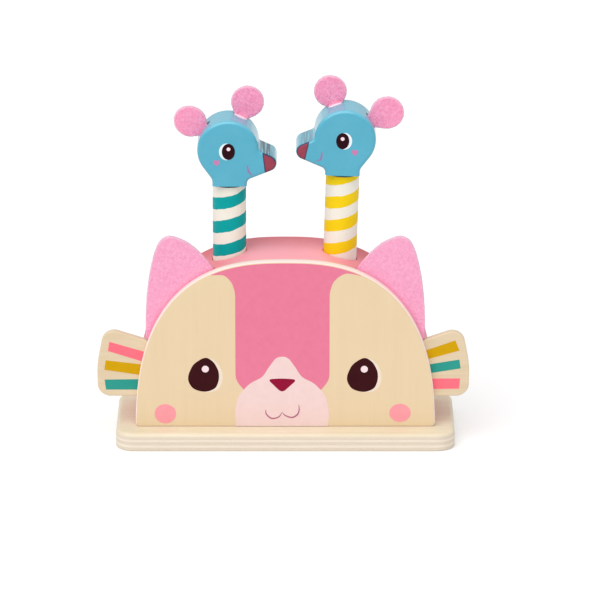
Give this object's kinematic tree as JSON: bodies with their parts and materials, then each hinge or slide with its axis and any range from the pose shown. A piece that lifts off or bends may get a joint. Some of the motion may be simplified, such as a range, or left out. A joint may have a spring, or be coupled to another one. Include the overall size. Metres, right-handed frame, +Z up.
{
  "type": "pop up animal toy",
  "caption": "Wooden pop-up toy: a cat-faced body with felt ears and fins on a base board, and sprung striped pegs with mouse heads that press down and turn.",
  "frame": {"origin": "centre of the base board's underside, on the surface that the toy stands on", "axes": "+Z up; +X to the right of someone who faces the cat; the cat's face looks along -Y, and Y is the toy's depth, its shortest extent"},
  "size_m": [0.2464, 0.084, 0.2433],
  "materials": {
    "base_ply": "clear satin lacquer on birch plywood, bare plies at the edge",
    "face_ply": "clear satin lacquer on fine pale plywood with a printed face",
    "back_ply": "clear satin lacquer on pale plywood",
    "pink_arch_paint": "satin pink paint on bent plywood",
    "inner_ply": "bare plywood",
    "dowel_wood": "bare turned beech",
    "block_wood": "bare sawn pine",
    "tube_wood": "wound and glued veneer tube, bare",
    "fin_ply": "clear satin lacquer on pale plywood with painted stripes",
    "cat_ear_felt": "pressed felt, soft and matte",
    "mouse_ear_felt": "pressed felt, soft and matte",
    "mouse_blue_paint": "satin blue paint on wood",
    "left_peg_paint": "cream paint with a teal spiral stripe",
    "right_peg_paint": "cream paint with a yellow spiral stripe",
    "screw_steel": "zinc plated steel",
    "spring_steel": "drawn spring wire"
  },
  "bodies": {
    "housing": {"base_board": "base_ply", "base_screws": "screw_steel", "front_panel": "face_ply", "back_panel": "back_ply", "arch_cover": "pink_arch_paint", "stop_board": "inner_ply", "stop_board_dowels": "dowel_wood", "left_cat_ear": "cat_ear_felt", "left_fin_board": "fin_ply", "left_side_block": "block_wood", "left_guide_tube": "tube_wood", "left_spring_seat": "dowel_wood", "left_spring": "spring_steel", "right_cat_ear": "cat_ear_felt", "right_fin_board": "fin_ply", "right_side_block": "block_wood", "right_guide_tube": "tube_wood", "right_spring_seat": "dowel_wood", "right_spring": "spring_steel"},
    "left_plunger": {"left_spring_cap": "dowel_wood"},
    "left_mouse": {"left_peg": "left_peg_paint", "left_foot_disc": "dowel_wood", "left_foot_screw": "screw_steel", "left_neck_pin": "dowel_wood", "left_mouse_head": "mouse_blue_paint", "left_mouse_front_ear": "mouse_ear_felt", "left_mouse_rear_ear": "mouse_ear_felt"},
    "right_plunger": {"right_spring_cap": "dowel_wood"},
    "right_mouse": {"right_peg": "right_peg_paint", "right_foot_disc": "dowel_wood", "right_foot_screw": "screw_steel", "right_neck_pin": "dowel_wood", "right_mouse_head": "mouse_blue_paint", "right_mouse_front_ear": "mouse_ear_felt", "right_mouse_rear_ear": "mouse_ear_felt"}
  },
  "joints": [
    {"name": "left_press", "type": "slide", "parent": "housing", "child": "left_plunger", "axis": [0, 0, 1], "range_m": [-0.0452, 0.0078], "stiffness_N_per_m": 60, "springref_m": 0.00845, "deforming": ["left_spring"]},
    {"name": "left_turn", "type": "hinge", "parent": "left_plunger", "child": "left_mouse", "pos_m": [-0.0369, 0.003, 0.12359], "axis": [0, 0, 1], "continuous": true},
    {"name": "right_press", "type": "slide", "parent": "housing", "child": "right_plunger", "axis": [0.0314, 0, 0.9995], "range_m": [-0.053, 0], "stiffness_N_per_m": 60, "springref_m": 0.03, "deforming": ["right_spring"]},
    {"name": "right_turn", "type": "hinge", "parent": "right_plunger", "child": "right_mouse", "pos_m": [0.0361, 0.003, 0.1238], "axis": [0.0314, 0, 0.9995], "continuous": true}
  ]
}
